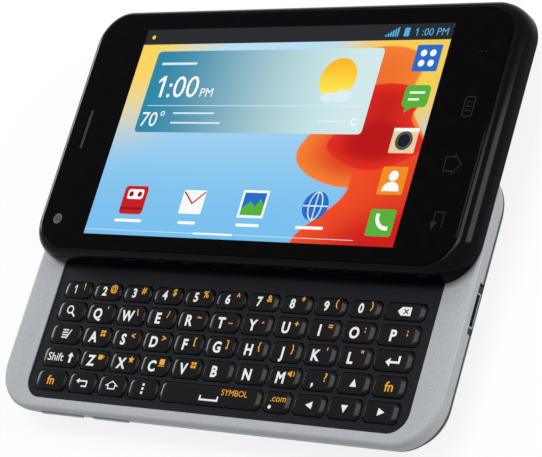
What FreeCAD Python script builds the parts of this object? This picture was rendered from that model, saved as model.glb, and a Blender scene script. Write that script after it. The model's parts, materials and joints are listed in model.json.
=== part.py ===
"""A slider phone: a display slab that slides over a slab with a thumb keyboard.

Millimetres. +X runs along the long side, +Y is the way the display slides open, and +Z points
out of the screen. The origin is the centre of the lower slab's back face. The phone is open.
"""
import FreeCAD, Part
import math
import os

Vector = FreeCAD.Vector

# Outside of both slabs
BODY_LENGTH = 120.6
BODY_WIDTH = 63.0
CLOSED_HEIGHT = 14.5
LOWER_HEIGHT = 8.5
SLAB_GAP = 0.3
TRAVEL = 35.0
LOWER_CORNER = 10.5
UPPER_CORNER = 9.0

# Layers of the lower slab, from the back up
COVER_THICKNESS = 1.0
FLOOR_THICKNESS = 0.8
CASE_HEIGHT = 4.9
CHASSIS_THICKNESS = 0.6
KEYPAD_BOARD_THICKNESS = 0.5
PANEL_FLANGE = 0.4
PANEL_SINK = 0.3

# Walls and borders of the lower slab
BACK_ROUNDING = 6.0
BACK_ROUNDING_HEIGHT = 6.5
BACK_STEPS = 4
FRAME_ROUNDING = 0.7
FRAME_STEPS = 2
FRAME_WALL = 1.3
CASE_WALL = 2.6
SEAM = 0.3
SIDE_BORDER = 7.55
FRONT_BORDER = 2.7
PANEL_CORNER = 4.8
PANEL_SHIFT = 0.65
PANEL_GAP = 0.1
PANEL_HOLD = 0.9

# Keys
KEY_GAP = 0.87
ROW_COUNT = 5
FIRST_ROW_DEPTH = 3.9
ROW_DEPTH = 4.6
ROW_GAP = 0.95
FIELD_END_MARGIN = 2.7
FIELD_FRONT_MARGIN = 2.0
KEYPAD_TAIL = 2.0
SIDE_KEY_WIDTH = 8.95
BACKSPACE_WIDTH = 10.3
SHIFT_WIDTH = 10.45
MENU_WIDTH = 8.3
PERIOD_WIDTH = 7.0
RIGHT_ARROW_WIDTH = 8.58
KEY_CORNER = 0.8
KEY_BEVEL = 0.3
KEY_PROUD = 0.4
KEY_CLEARANCE = 0.12
KEY_LIP = 0.22
LIP_THICKNESS = 0.4
KEY_SETTLE = 0.05
KEY_TRAVEL = 0.3
KEY_BOTTOM_GAP = 0.05
DOME_WIDTH = 3.0
DOME_HEIGHT = 0.1

# Side keys
SIDE_KEY_HEIGHT = 1.0
SIDE_KEY_PROUD = 0.25
SIDE_LIP = 0.4
VOLUME_UP_FROM_END = 19.8
VOLUME_UP_LENGTH = 12.4
VOLUME_DOWN_FROM_UP = 14.6
VOLUME_DOWN_LENGTH = 10.2
POWER_FROM_JACK = 11.0
POWER_LENGTH = 9.0

# Battery and boards
BATTERY_LENGTH = 58.0
BATTERY_FROM_END = 16.0
BATTERY_FROM_SIDE = 9.3
BAY_GAP = 0.4
BAY_WALL = 0.9
BOARD_THICKNESS = 0.8
BOARD_LIFT = 1.4
BOARD_GAP = 0.3
CAN_MARGIN = 1.5
FIT = 0.1

# What the lower slab holds
SCREW_FROM_END = 10.0
SCREW_FROM_SIDE = 7.3
SCREW_RADIUS = 0.7
SCREW_HEAD = 1.4
SCREW_HEAD_HEIGHT = 0.4
POST_RADIUS = 1.9
CORNER_REACH = 5.0
CAMERA_FROM_END = 24.0
CAMERA_FROM_SIDE = 12.3
CAMERA_WIDTH = 8.6
LENS_RADIUS = 3.2
SPEAKER_FROM_END = 22.0
SPEAKER_FROM_SIDE = 14.3
SPEAKER_LENGTH = 16.0
SPEAKER_WIDTH = 10.0
SPEAKER_SLOTS = 5
SPEAKER_SLOT_WIDTH = 0.9
JACK_FROM_SCREW = 9.0
JACK_RADIUS = 1.8
JACK_MOUTH_RADIUS = 2.2
JACK_BODY_WIDTH = 7.4
JACK_DEPTH = 11.5
USB_LENGTH = 7.6
USB_HEIGHT = 2.6
USB_DEPTH = 5.6
USB_WALL = 0.3
USB_RECESS = 11.2
USB_RECESS_DEPTH = 1.0

# Slide
RAIL_FROM_END = 12.0
RAIL_MARGIN = 1.2
RAIL_FROM_KEYS = 5.4
RAIL_WALL = 0.8
RAIL_HOOK = 1.5
RAIL_FOOT = 0.4
SLIDE_PLATE_THICKNESS = 0.5
SLIDE_CLEARANCE = 0.2
CHANNEL_CLEARANCE = 0.5

# Upper slab
RIM_STRAIGHT = 1.6
RIM_END_INSET = 2.5
RIM_SIDE_INSET = 1.5
RIM_STEPS = 4
GLASS_THICKNESS = 1.1
GLASS_PROUD = 0.35
GLASS_BEVEL = 0.25
RIM_TOP_WALL = 0.25
HOUSING_FLOOR = 2.1
LCD_END_BORDER = 14.5
LCD_SIDE_BORDER = 3.8
LCD_THICKNESS = 2.3
LCD_X = -0.4
LCD_Y = -0.3
EARPIECE_FROM_END = 7.2
EARPIECE_SLOT_LENGTH = 10.0
EARPIECE_SLOT_WIDTH = 1.2
EARPIECE_THICKNESS = 2.2
FRONT_CAMERA_FROM_END = 7.5
FRONT_CAMERA_FROM_SIDE = 8.7
FRONT_CAMERA_RADIUS = 1.6
FRONT_CAMERA_HEIGHT = 2.0

# Heights worked out from the layers
FLOOR_TOP = COVER_THICKNESS + FLOOR_THICKNESS
CHASSIS_TOP = CASE_HEIGHT + CHASSIS_THICKNESS
KEYPAD_BOARD_TOP = CHASSIS_TOP + KEYPAD_BOARD_THICKNESS
MAT_THICKNESS = DOME_HEIGHT + KEY_BOTTOM_GAP + KEY_TRAVEL + LIP_THICKNESS + KEY_SETTLE
MAT_TOP = KEYPAD_BOARD_TOP + MAT_THICKNESS
FLANGE_TOP = MAT_TOP + PANEL_FLANGE
PANEL_TOP = LOWER_HEIGHT - PANEL_SINK
KEY_TOP = PANEL_TOP + KEY_PROUD
LIP_TOP = MAT_TOP - KEY_SETTLE
BOARD_BOTTOM = FLOOR_TOP + BOARD_LIFT
BOARD_TOP = BOARD_BOTTOM + BOARD_THICKNESS
UPPER_BOTTOM = LOWER_HEIGHT + SLAB_GAP
HOUSING_INSIDE = UPPER_BOTTOM + HOUSING_FLOOR
GLASS_BOTTOM = CLOSED_HEIGHT - GLASS_THICKNESS
RIM_TOP = CLOSED_HEIGHT - GLASS_PROUD

# Outlines worked out from the borders
PANEL_LENGTH = BODY_LENGTH - 2 * SIDE_BORDER
PANEL_WIDTH = BODY_WIDTH - 2 * FRONT_BORDER
GLASS_LENGTH = BODY_LENGTH - 2 * (RIM_END_INSET + RIM_TOP_WALL + FIT)
GLASS_WIDTH = BODY_WIDTH - 2 * (RIM_SIDE_INSET + RIM_TOP_WALL + FIT)
GLASS_CORNER = UPPER_CORNER - RIM_SIDE_INSET
LCD_LENGTH = BODY_LENGTH - 2 * LCD_END_BORDER
LCD_WIDTH = BODY_WIDTH - 2 * LCD_SIDE_BORDER
BATTERY_WIDTH = BODY_WIDTH - 2 * BATTERY_FROM_SIDE

# Places worked out from the ends and sides
LEFT_END = -BODY_LENGTH / 2
RIGHT_END = BODY_LENGTH / 2
FRONT_SIDE = -BODY_WIDTH / 2
BACK_SIDE = BODY_WIDTH / 2
VOLUME_UP_AT = LEFT_END + VOLUME_UP_FROM_END
VOLUME_DOWN_AT = VOLUME_UP_AT + VOLUME_DOWN_FROM_UP
BATTERY_AT = RIGHT_END - BATTERY_FROM_END - BATTERY_LENGTH / 2
SCREW_X = RIGHT_END - SCREW_FROM_END
SCREW_Y = BACK_SIDE - SCREW_FROM_SIDE
CAMERA_X = LEFT_END + CAMERA_FROM_END
CAMERA_Y = BACK_SIDE - CAMERA_FROM_SIDE
SPEAKER_X = LEFT_END + SPEAKER_FROM_END
SPEAKER_Y = FRONT_SIDE + SPEAKER_FROM_SIDE
JACK_Y = SCREW_Y - JACK_FROM_SCREW
POWER_AT = JACK_Y - POWER_FROM_JACK
RAIL_X = RIGHT_END - RAIL_FROM_END
EARPIECE_X = LEFT_END + EARPIECE_FROM_END
FRONT_CAMERA_X = LEFT_END + FRONT_CAMERA_FROM_END
FRONT_CAMERA_Y = FRONT_SIDE + FRONT_CAMERA_FROM_SIDE

# The headset jack fills the height between the case's floor and the keypad's panel
JACK_OUTER = (MAT_TOP - FLOOR_TOP - FIT) / 2
JACK_WALL = JACK_OUTER - JACK_RADIUS
JACK_Z = FLOOR_TOP + FIT + JACK_OUTER
JACK_MOUTH = LEFT_END + CASE_WALL
JACK_MOUTH_DEPTH = CASE_WALL + FRAME_WALL

# The field of keys
FIELD_LEFT = PANEL_SHIFT - PANEL_LENGTH / 2 + FIELD_END_MARGIN
FIELD_RIGHT = PANEL_SHIFT + PANEL_LENGTH / 2 - FIELD_END_MARGIN
FIELD_LENGTH = FIELD_RIGHT - FIELD_LEFT
FIELD_FRONT = -PANEL_WIDTH / 2 + FIELD_FRONT_MARGIN
FIELD_BACK = FIELD_FRONT + FIRST_ROW_DEPTH + (ROW_COUNT - 1) * (ROW_DEPTH + ROW_GAP)
DIGIT_COUNT = 10
KEY_WIDTH = (FIELD_LENGTH - BACKSPACE_WIDTH) / DIGIT_COUNT - KEY_GAP
LAST_ROW_PLAIN = 4
LAST_ROW_OTHERS = SIDE_KEY_WIDTH + MENU_WIDTH + PERIOD_WIDTH + RIGHT_ARROW_WIDTH
SPACE_WIDTH = FIELD_LENGTH - LAST_ROW_OTHERS - LAST_ROW_PLAIN * (KEY_WIDTH + KEY_GAP) - 4 * KEY_GAP


def block(x_low, x_high, y_low, y_high, z_low, z_high):
    """A plain box between six limits."""
    corner = Vector(x_low, y_low, z_low)
    return Part.makeBox(x_high - x_low, y_high - y_low, z_high - z_low, corner)


def middle_block(x, y, length, width, z_low, z_high):
    """A plain box centred on x, y."""
    return block(x - length / 2, x + length / 2, y - width / 2, y + width / 2, z_low, z_high)


def rounded_wire(length, width, radius, z):
    """A rounded rectangle about the Z axis, as lines joined by arcs."""
    half_x = length / 2
    half_y = width / 2
    middle = radius * (1 - math.sqrt(0.5))
    edges = []
    for sign_x, sign_y, lengthwise in ((1, 1, False), (-1, 1, True), (-1, -1, False), (1, -1, True)):
        corner_x = sign_x * half_x
        corner_y = sign_y * half_y
        on_side = Vector(corner_x, corner_y - sign_y * radius, z)
        on_end = Vector(corner_x - sign_x * radius, corner_y, z)
        bend = Vector(corner_x - sign_x * middle, corner_y - sign_y * middle, z)
        first, last = (on_end, on_side) if lengthwise else (on_side, on_end)
        if edges:
            edges.append(Part.LineSegment(edges[-1].lastVertex().Point, first).toShape())
        edges.append(Part.Arc(first, bend, last).toShape())
    start = edges[0].firstVertex().Point
    edges.append(Part.LineSegment(edges[-1].lastVertex().Point, start).toShape())
    return Part.Wire(edges)


def rounded_block(length, width, radius, z_low, z_high):
    """An upright block with a rounded rectangular outline."""
    face = Part.Face(rounded_wire(length, width, radius, z_low))
    return face.extrude(Vector(0, 0, z_high - z_low))


def cut_corner_block(x_low, x_high, y_low, y_high, z_low, z_high, corner):
    """A block whose upright edges are cut off at 45 degrees."""
    outline = [
        Vector(x_low + corner, y_low, z_low), Vector(x_high - corner, y_low, z_low),
        Vector(x_high, y_low + corner, z_low), Vector(x_high, y_high - corner, z_low),
        Vector(x_high - corner, y_high, z_low), Vector(x_low + corner, y_high, z_low),
        Vector(x_low, y_high - corner, z_low), Vector(x_low, y_low + corner, z_low),
    ]
    face = Part.Face(Part.makePolygon(outline + outline[:1]))
    return face.extrude(Vector(0, 0, z_high - z_low))


def stacked_shell(sections, radius):
    """A solid through rounded outlines, each given as height, end inset and side inset."""
    wires = []
    for z, end_inset, side_inset in sections:
        corner = radius - min(end_inset, side_inset)
        wires.append(rounded_wire(BODY_LENGTH - 2 * end_inset, BODY_WIDTH - 2 * side_inset, corner, z))
    return Part.makeLoft(wires, True, True)


def rounding(depth, height, steps):
    """Inset and rise along a quarter curve that starts upright and leans inward."""
    last_turn = math.radians(90) * steps / (steps + 0.5)
    for step in range(1, steps + 1):
        turn = last_turn * step / steps
        inset = depth * (1 - math.cos(turn)) / (1 - math.cos(last_turn))
        rise = height * math.sin(turn) / math.sin(last_turn)
        yield inset, rise


def cylinder(x, y, radius, z_low, z_high):
    """An upright round bar."""
    return Part.makeCylinder(radius, z_high - z_low, Vector(x, y, z_low))


def eight_sided(x, y, radius, z_low, z_high):
    """An upright bar with eight sides, whose flats lie at the given radius."""
    corner = radius * (2 - math.sqrt(2))
    return cut_corner_block(x - radius, x + radius, y - radius, y + radius, z_low, z_high, corner)


def at_corners(make):
    """One copy of a shape at each of the four case screws."""
    return [make(sign_x * SCREW_X, sign_y * SCREW_Y) for sign_x in (-1, 1) for sign_y in (-1, 1)]


# Lower slab outside


def lower_envelope():
    sections = []
    for inset, drop in reversed(list(rounding(BACK_ROUNDING, BACK_ROUNDING_HEIGHT, BACK_STEPS))):
        sections.append((BACK_ROUNDING_HEIGHT - drop, inset, inset))
    sections.append((BACK_ROUNDING_HEIGHT, 0, 0))
    sections.append((LOWER_HEIGHT - FRAME_ROUNDING, 0, 0))
    for inset, rise in rounding(FRAME_ROUNDING, FRAME_ROUNDING, FRAME_STEPS):
        sections.append((LOWER_HEIGHT - FRAME_ROUNDING + rise, inset, inset))
    return stacked_shell(sections, LOWER_CORNER)


def slice_between(shape, z_low, z_high):
    return shape.common(middle_block(0, 0, 2 * BODY_LENGTH, 2 * BODY_WIDTH, z_low, z_high))


def usb_mouth(margin):
    """The space of the USB socket and its finger recess in the right end."""
    end = BODY_LENGTH / 2
    recess = block(end - USB_RECESS_DEPTH, end + 1, -USB_RECESS / 2, USB_RECESS / 2,
                   CASE_HEIGHT - USB_HEIGHT / 2 - FIT, CASE_HEIGHT + USB_HEIGHT / 2 + FIT)
    passage = block(end - USB_DEPTH - USB_RECESS_DEPTH - margin, end + 1,
                    -USB_LENGTH / 2 - margin, USB_LENGTH / 2 + margin,
                    CASE_HEIGHT - USB_HEIGHT / 2 - margin, CASE_HEIGHT + USB_HEIGHT / 2 + margin)
    return recess.fuse(passage)


def jack_space(margin):
    """The space of the headset jack's body, with its mouth in the left end."""
    body = block(JACK_MOUTH - margin, JACK_MOUTH + JACK_DEPTH + margin,
                 JACK_Y - JACK_BODY_WIDTH / 2 - margin, JACK_Y + JACK_BODY_WIDTH / 2 + margin,
                 JACK_Z - JACK_OUTER - margin, JACK_Z + JACK_OUTER + margin)
    mouth = Part.makeCylinder(JACK_MOUTH_RADIUS, JACK_MOUTH_DEPTH,
                              Vector(JACK_MOUTH - JACK_MOUTH_DEPTH, JACK_Y, JACK_Z), Vector(1, 0, 0))
    return body.fuse(mouth)


def side_key(middle, length, margin):
    """A key in the front wall: a cap that stands out and a lip inside the wall."""
    wall_outside = -BODY_WIDTH / 2
    wall_inside = wall_outside + FRAME_WALL
    z_low = CHASSIS_TOP + FIT
    cap = block(middle - length / 2 - margin, middle + length / 2 + margin,
                wall_outside - SIDE_KEY_PROUD, wall_inside + FIT,
                z_low + FIT - margin, z_low + FIT + SIDE_KEY_HEIGHT + margin)
    lip = block(middle - length / 2 - SIDE_LIP, middle + length / 2 + SIDE_LIP,
                wall_inside + FIT, wall_inside + FIT + SIDE_LIP,
                z_low, z_low + SIDE_KEY_HEIGHT + 2 * FIT)
    return cap, lip


def end_key(middle, length, margin):
    """The power key: the same key, in the left end's wall."""
    cap, lip = side_key(middle, length, margin)
    turned = []
    for shape in (cap, lip):
        shape.rotate(Vector(0, 0, 0), Vector(0, 0, 1), -90)
        shape.translate(Vector(-BODY_LENGTH / 2 + BODY_WIDTH / 2, 0, 0))
        turned.append(shape)
    return turned


def volume_up_key():
    cap, lip = side_key(VOLUME_UP_AT, VOLUME_UP_LENGTH, 0)
    return cap.fuse(lip).removeSplitter()


def volume_down_key():
    cap, lip = side_key(VOLUME_DOWN_AT, VOLUME_DOWN_LENGTH, 0)
    return cap.fuse(lip).removeSplitter()


def power_key():
    cap, lip = end_key(-POWER_AT, POWER_LENGTH, 0)
    return cap.fuse(lip).removeSplitter()


def keyboard_frame():
    """The silver rim: a wall and a border round the sunk panel."""
    rim = slice_between(lower_envelope(), CASE_HEIGHT, LOWER_HEIGHT)
    pocket = rounded_block(BODY_LENGTH - 2 * FRAME_WALL, BODY_WIDTH - 2 * FRAME_WALL,
                           LOWER_CORNER - FRAME_WALL, CASE_HEIGHT, FLANGE_TOP)
    opening = shifted(rounded_block(PANEL_LENGTH, PANEL_WIDTH, PANEL_CORNER, FLANGE_TOP, LOWER_HEIGHT))
    slots = [
        side_key(VOLUME_UP_AT, VOLUME_UP_LENGTH, FIT)[0],
        side_key(VOLUME_DOWN_AT, VOLUME_DOWN_LENGTH, FIT)[0],
        end_key(-POWER_AT, POWER_LENGTH, FIT)[0],
    ]
    return rim.cut([pocket, opening, usb_mouth(FIT), jack_space(FIT)] + slots)


def inner_floor():
    """The space inside the rear case's wall, above its floor."""
    return rounded_block(BODY_LENGTH - 2 * CASE_WALL, BODY_WIDTH - 2 * CASE_WALL,
                         LOWER_CORNER - CASE_WALL, FLOOR_TOP, CASE_HEIGHT)


def battery_bay(margin, z_low, z_high):
    return middle_block(BATTERY_AT, 0, BATTERY_LENGTH + 2 * margin, BATTERY_WIDTH + 2 * margin,
                        z_low, z_high)


def speaker_slots(z_low, z_high):
    slots = []
    for index in range(SPEAKER_SLOTS):
        y = SPEAKER_Y + 2 * SPEAKER_SLOT_WIDTH * (index - (SPEAKER_SLOTS - 1) / 2)
        slots.append(middle_block(SPEAKER_X, y, SPEAKER_LENGTH * 0.6, SPEAKER_SLOT_WIDTH,
                                  z_low, z_high))
    return slots


def rear_case():
    """The dark tray: side wall, floor, battery bay with its rim, and screw posts."""
    tray = slice_between(lower_envelope(), COVER_THICKNESS, CASE_HEIGHT)
    seam = rounded_block(BODY_LENGTH + 1, BODY_WIDTH + 1, LOWER_CORNER, CASE_HEIGHT - SEAM, CASE_HEIGHT)
    seam = seam.cut(rounded_block(BODY_LENGTH - 2 * SEAM, BODY_WIDTH - 2 * SEAM,
                                  LOWER_CORNER - SEAM, CASE_HEIGHT - SEAM, CASE_HEIGHT))
    tray = tray.cut([inner_floor(), seam])
    bay_rim = battery_bay(BAY_GAP + BAY_WALL, COVER_THICKNESS, CASE_HEIGHT)
    posts = at_corners(lambda x, y: eight_sided(x, y, POST_RADIUS, FLOOR_TOP, CASE_HEIGHT))
    tray = tray.fuse([bay_rim] + posts)
    holes = at_corners(lambda x, y: cylinder(x, y, SCREW_RADIUS + FIT, 0, CASE_HEIGHT))
    seats = at_corners(lambda x, y: eight_sided(
        x, y, SCREW_HEAD + FIT, 0, COVER_THICKNESS + SCREW_HEAD_HEIGHT))
    camera = cylinder(CAMERA_X, CAMERA_Y, LENS_RADIUS + FIT, 0, CASE_HEIGHT)
    return tray.cut([battery_bay(BAY_GAP, 0, CASE_HEIGHT), camera, usb_mouth(FIT), jack_space(FIT)]
                    + holes + seats + speaker_slots(0, CASE_HEIGHT)).removeSplitter()


def battery_cover():
    """The back shell, with a hole for the camera and slots for the loudspeaker."""
    shell = slice_between(lower_envelope(), 0, COVER_THICKNESS)
    camera = cylinder(CAMERA_X, CAMERA_Y, LENS_RADIUS + FIT, 0, COVER_THICKNESS)
    return shell.cut([camera] + speaker_slots(0, COVER_THICKNESS))


# Inside the lower slab


def battery_pack():
    return battery_bay(0, COVER_THICKNESS + FIT, CASE_HEIGHT)


def main_board():
    """The board round the battery, notched for the posts, jack, socket, camera and speaker."""
    inset = CASE_WALL + BOARD_GAP
    board = rounded_block(BODY_LENGTH - 2 * inset, BODY_WIDTH - 2 * inset, LOWER_CORNER - inset,
                          BOARD_BOTTOM, BOARD_TOP)
    notch = POST_RADIUS + BOARD_GAP
    corners = at_corners(lambda x, y: middle_block(
        x + math.copysign(CORNER_REACH, x), y + math.copysign(CORNER_REACH, y),
        2 * (notch + CORNER_REACH), 2 * (notch + CORNER_REACH), BOARD_BOTTOM, BOARD_TOP))
    return board.cut([
        battery_bay(BAY_GAP + BAY_WALL + BOARD_GAP, BOARD_BOTTOM, BOARD_TOP),
        usb_mouth(FIT), jack_space(FIT),
        middle_block(CAMERA_X, CAMERA_Y, CAMERA_WIDTH + 2 * FIT, CAMERA_WIDTH + 2 * FIT,
                     BOARD_BOTTOM, BOARD_TOP),
        middle_block(SPEAKER_X, SPEAKER_Y, SPEAKER_LENGTH + 2 * FIT, SPEAKER_WIDTH + 2 * FIT,
                     BOARD_BOTTOM, BOARD_TOP),
    ] + corners)


def shield_cans():
    """A sheet lid on the board, between the camera and the loudspeaker."""
    can_left = JACK_MOUTH + CAN_MARGIN
    can_right = BATTERY_AT - BATTERY_LENGTH / 2 - BAY_GAP - BAY_WALL - CAN_MARGIN
    can_front = SPEAKER_Y + SPEAKER_WIDTH / 2 + CAN_MARGIN
    can_back = JACK_Y - JACK_BODY_WIDTH / 2 - CAN_MARGIN
    return block(can_left, can_right, can_front, can_back, BOARD_TOP, CASE_HEIGHT)


def rear_camera():
    body = middle_block(CAMERA_X, CAMERA_Y, CAMERA_WIDTH, CAMERA_WIDTH, FLOOR_TOP, CASE_HEIGHT)
    barrel = cylinder(CAMERA_X, CAMERA_Y, LENS_RADIUS, FIT, FLOOR_TOP)
    sight = Part.makeCone(LENS_RADIUS * 0.7, LENS_RADIUS * 0.35, COVER_THICKNESS / 2,
                          Vector(CAMERA_X, CAMERA_Y, FIT))
    return body.fuse(barrel).cut(sight)


def loudspeaker():
    return middle_block(SPEAKER_X, SPEAKER_Y, SPEAKER_LENGTH, SPEAKER_WIDTH, FLOOR_TOP, CASE_HEIGHT)


def headset_jack():
    body = block(JACK_MOUTH, JACK_MOUTH + JACK_DEPTH,
                 JACK_Y - JACK_BODY_WIDTH / 2, JACK_Y + JACK_BODY_WIDTH / 2,
                 JACK_Z - JACK_OUTER, JACK_Z + JACK_OUTER)
    bore = Part.makeCylinder(JACK_RADIUS, JACK_DEPTH - JACK_WALL,
                             Vector(JACK_MOUTH, JACK_Y, JACK_Z), Vector(1, 0, 0))
    return body.cut(bore)


def usb_socket():
    """A sheet shell with a tongue, open to the right."""
    mouth = BODY_LENGTH / 2 - USB_RECESS_DEPTH
    shell = block(mouth - USB_DEPTH, mouth, -USB_LENGTH / 2, USB_LENGTH / 2,
                  CASE_HEIGHT - USB_HEIGHT / 2, CASE_HEIGHT + USB_HEIGHT / 2)
    hollow = block(mouth - USB_DEPTH + USB_WALL, mouth,
                   -USB_LENGTH / 2 + USB_WALL, USB_LENGTH / 2 - USB_WALL,
                   CASE_HEIGHT - USB_HEIGHT / 2 + USB_WALL, CASE_HEIGHT + USB_HEIGHT / 2 - USB_WALL)
    tongue = block(mouth - USB_DEPTH, mouth - USB_WALL, -USB_LENGTH / 4, USB_LENGTH / 4,
                   CASE_HEIGHT - USB_WALL, CASE_HEIGHT + USB_WALL)
    return shell.cut(hollow).fuse(tongue)


def keypad_chassis():
    """The light metal plate that carries the keypad in front and the rails behind it."""
    plate = rounded_block(BODY_LENGTH - 2 * (FRAME_WALL + FIT), BODY_WIDTH - 2 * (FRAME_WALL + FIT),
                          LOWER_CORNER - FRAME_WALL - FIT, CASE_HEIGHT, CHASSIS_TOP)
    pad = block(-RAIL_X + JACK_OUTER, RAIL_X, KEYPAD_BACK + FIT, RAIL_BACK,
                CHASSIS_TOP, MAT_TOP)
    sockets = at_corners(lambda x, y: cylinder(x, y, SCREW_RADIUS, CASE_HEIGHT, CHASSIS_TOP))
    return plate.fuse(pad).cut([usb_mouth(FIT), jack_space(FIT)] + sockets)


def case_screw(x, y):
    """One screw from the back, through the case's post into the chassis."""
    head_top = COVER_THICKNESS + SCREW_HEAD_HEIGHT
    head = eight_sided(x, y, SCREW_HEAD, COVER_THICKNESS, head_top)
    shank = cylinder(x, y, SCREW_RADIUS, head_top, CHASSIS_TOP)
    drive = middle_block(x, y, SCREW_HEAD, SCREW_RADIUS / 2,
                         COVER_THICKNESS, COVER_THICKNESS + SCREW_HEAD_HEIGHT / 2)
    return head.fuse(shank).cut(drive)


def case_screws():
    return Part.makeCompound(at_corners(case_screw))


# Keypad


def key_rows():
    """The five rows, each as names with widths. The last key of a row runs to the field's edge."""
    plain = KEY_WIDTH
    return [
        [(digit, plain) for digit in "1234567890"] + [("backspace", None)],
        [("search", plain)] + [(letter, plain) for letter in "qwertyuio"] + [("p", None)],
        [("memo", SIDE_KEY_WIDTH)] + [(letter, plain) for letter in "asdfghjkl"] + [("enter", None)],
        [("shift", SHIFT_WIDTH)] + [(letter, plain) for letter in "zxcvbnm"]
        + [("comma", plain), ("up", plain), ("fn_right", None)],
        [("fn_left", SIDE_KEY_WIDTH), ("back", plain), ("home", plain), ("menu", MENU_WIDTH),
         ("space", SPACE_WIDTH), ("period", PERIOD_WIDTH), ("left", plain), ("down", plain),
         ("right", None)],
    ]


def key_places():
    """The limits of every key in the keyboard's plane: name to x low, x high, y low, y high."""
    places = {}
    row_back = FIELD_BACK
    for row_number, row in enumerate(key_rows()):
        depth = ROW_DEPTH if row_number else FIRST_ROW_DEPTH
        left = FIELD_LEFT
        for name, width in row:
            right = left + width if width else FIELD_RIGHT
            places[name] = (left, right, row_back - depth, row_back)
            left = right + KEY_GAP
        row_back -= depth + ROW_GAP
    return places


KEYS = key_places()
KEYPAD_BACK = FIELD_BACK + KEYPAD_TAIL
KEYPAD_FRONT = min(place[2] for place in KEYS.values()) - KEY_GAP
KEYPAD_LEFT = FIELD_LEFT - KEY_GAP
KEYPAD_RIGHT = FIELD_RIGHT + KEY_GAP


def grown(place, margin, z_low, z_high):
    x_low, x_high, y_low, y_high = place
    return block(x_low - margin, x_high + margin, y_low - margin, y_high + margin, z_low, z_high)


def key_cap(place):
    """A key: a bevelled cap in its hole and a lip that the panel holds down."""
    x_low, x_high, y_low, y_high = place
    cap = cut_corner_block(x_low, x_high, y_low, y_high, LIP_TOP, KEY_TOP, KEY_CORNER)
    rim = [edge for edge in cap.Edges if min(v.Z for v in edge.Vertexes) > KEY_TOP - KEY_BEVEL / 2]
    cap = cap.makeChamfer(KEY_BEVEL, rim)
    lip = grown(place, KEY_LIP, LIP_TOP - LIP_THICKNESS, LIP_TOP)
    return cap.fuse(lip)


def shifted(shape):
    """Move a shape from the slab's middle to the panel's middle."""
    shape.translate(Vector(PANEL_SHIFT, 0, 0))
    return shape


def keypad_panel():
    """The dark plate with a hole for every key, held under the frame by its flange."""
    plate = rounded_block(PANEL_LENGTH - 2 * PANEL_GAP, PANEL_WIDTH - 2 * PANEL_GAP,
                          PANEL_CORNER - PANEL_GAP, FLANGE_TOP, PANEL_TOP)
    flange = rounded_block(PANEL_LENGTH + 2 * PANEL_HOLD, PANEL_WIDTH + 2 * PANEL_HOLD,
                           PANEL_CORNER + PANEL_HOLD, MAT_TOP, FLANGE_TOP)
    holes = []
    for x_low, x_high, y_low, y_high in KEYS.values():
        holes.append(cut_corner_block(
            x_low - KEY_CLEARANCE, x_high + KEY_CLEARANCE, y_low - KEY_CLEARANCE,
            y_high + KEY_CLEARANCE, MAT_TOP, PANEL_TOP, KEY_CORNER))
    return shifted(plate.fuse(flange)).cut(holes)


def keymat():
    """The rubber lattice under the panel: a rib between every two keys."""
    mat = block(KEYPAD_LEFT, KEYPAD_RIGHT, KEYPAD_FRONT, KEYPAD_BACK, KEYPAD_BOARD_TOP, MAT_TOP)
    wells = [grown(place, KEY_LIP + FIT / 2, KEYPAD_BOARD_TOP, MAT_TOP) for place in KEYS.values()]
    return mat.cut(wells)


def keypad_board():
    return block(KEYPAD_LEFT, KEYPAD_RIGHT, KEYPAD_FRONT, KEYPAD_BACK, CHASSIS_TOP, KEYPAD_BOARD_TOP)


def snap_domes():
    """The domes that the keys snap, drawn pressed flat."""
    domes = []
    for x_low, x_high, y_low, y_high in KEYS.values():
        x = (x_low + x_high) / 2
        y = (y_low + y_high) / 2
        domes.append(middle_block(x, y, DOME_WIDTH, DOME_WIDTH, KEYPAD_BOARD_TOP,
                                  KEYPAD_BOARD_TOP + DOME_HEIGHT))
    return Part.makeCompound(domes)


# Slide

RAIL_BACK = PANEL_WIDTH / 2 - RAIL_MARGIN
RAIL_FRONT = FIELD_BACK + RAIL_FROM_KEYS
PLATE_HALF = RAIL_X - RAIL_WALL / 2 - SLIDE_CLEARANCE
HOOK_BOTTOM = UPPER_BOTTOM + SLIDE_PLATE_THICKNESS + SLIDE_CLEARANCE
HOOK_TOP = HOOK_BOTTOM + RAIL_FOOT
CHANNEL_TOP = HOOK_TOP + SLIDE_CLEARANCE
PLATE_FRONT = RAIL_FRONT - SLIDE_CLEARANCE
PLATE_BACK = RAIL_BACK + TRAVEL + SLIDE_CLEARANCE


def slide_rails():
    """Two hooked rails on the panel that hold the edges of the slide plate."""
    rails = []
    for side in (-1, 1):
        wall_low = RAIL_X - RAIL_WALL / 2
        wall_high = RAIL_X + RAIL_WALL / 2
        wall = block(wall_low, wall_high, RAIL_FRONT, RAIL_BACK, PANEL_TOP, HOOK_TOP)
        hook = block(wall_low - RAIL_HOOK, wall_high, RAIL_FRONT, RAIL_BACK,
                     HOOK_BOTTOM, HOOK_TOP)
        foot = block(wall_low - RAIL_HOOK, wall_high + RAIL_HOOK, RAIL_FRONT, RAIL_BACK,
                     PANEL_TOP, PANEL_TOP + RAIL_FOOT)
        rail = wall.fuse([hook, foot]).removeSplitter()
        rails.append(rail if side > 0 else rail.mirror(Vector(0, 0, 0), Vector(1, 0, 0)))
    return Part.makeCompound(rails)


def slide_plate():
    """The steel plate under the display slab. Its long edges run in the rails."""
    plate = block(-PLATE_HALF, PLATE_HALF, PLATE_FRONT, PLATE_BACK,
                  UPPER_BOTTOM, UPPER_BOTTOM + SLIDE_PLATE_THICKNESS)
    return plate


# Upper slab, built in its open place


def opened(shape):
    shape.translate(Vector(0, TRAVEL, 0))
    return shape


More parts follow.
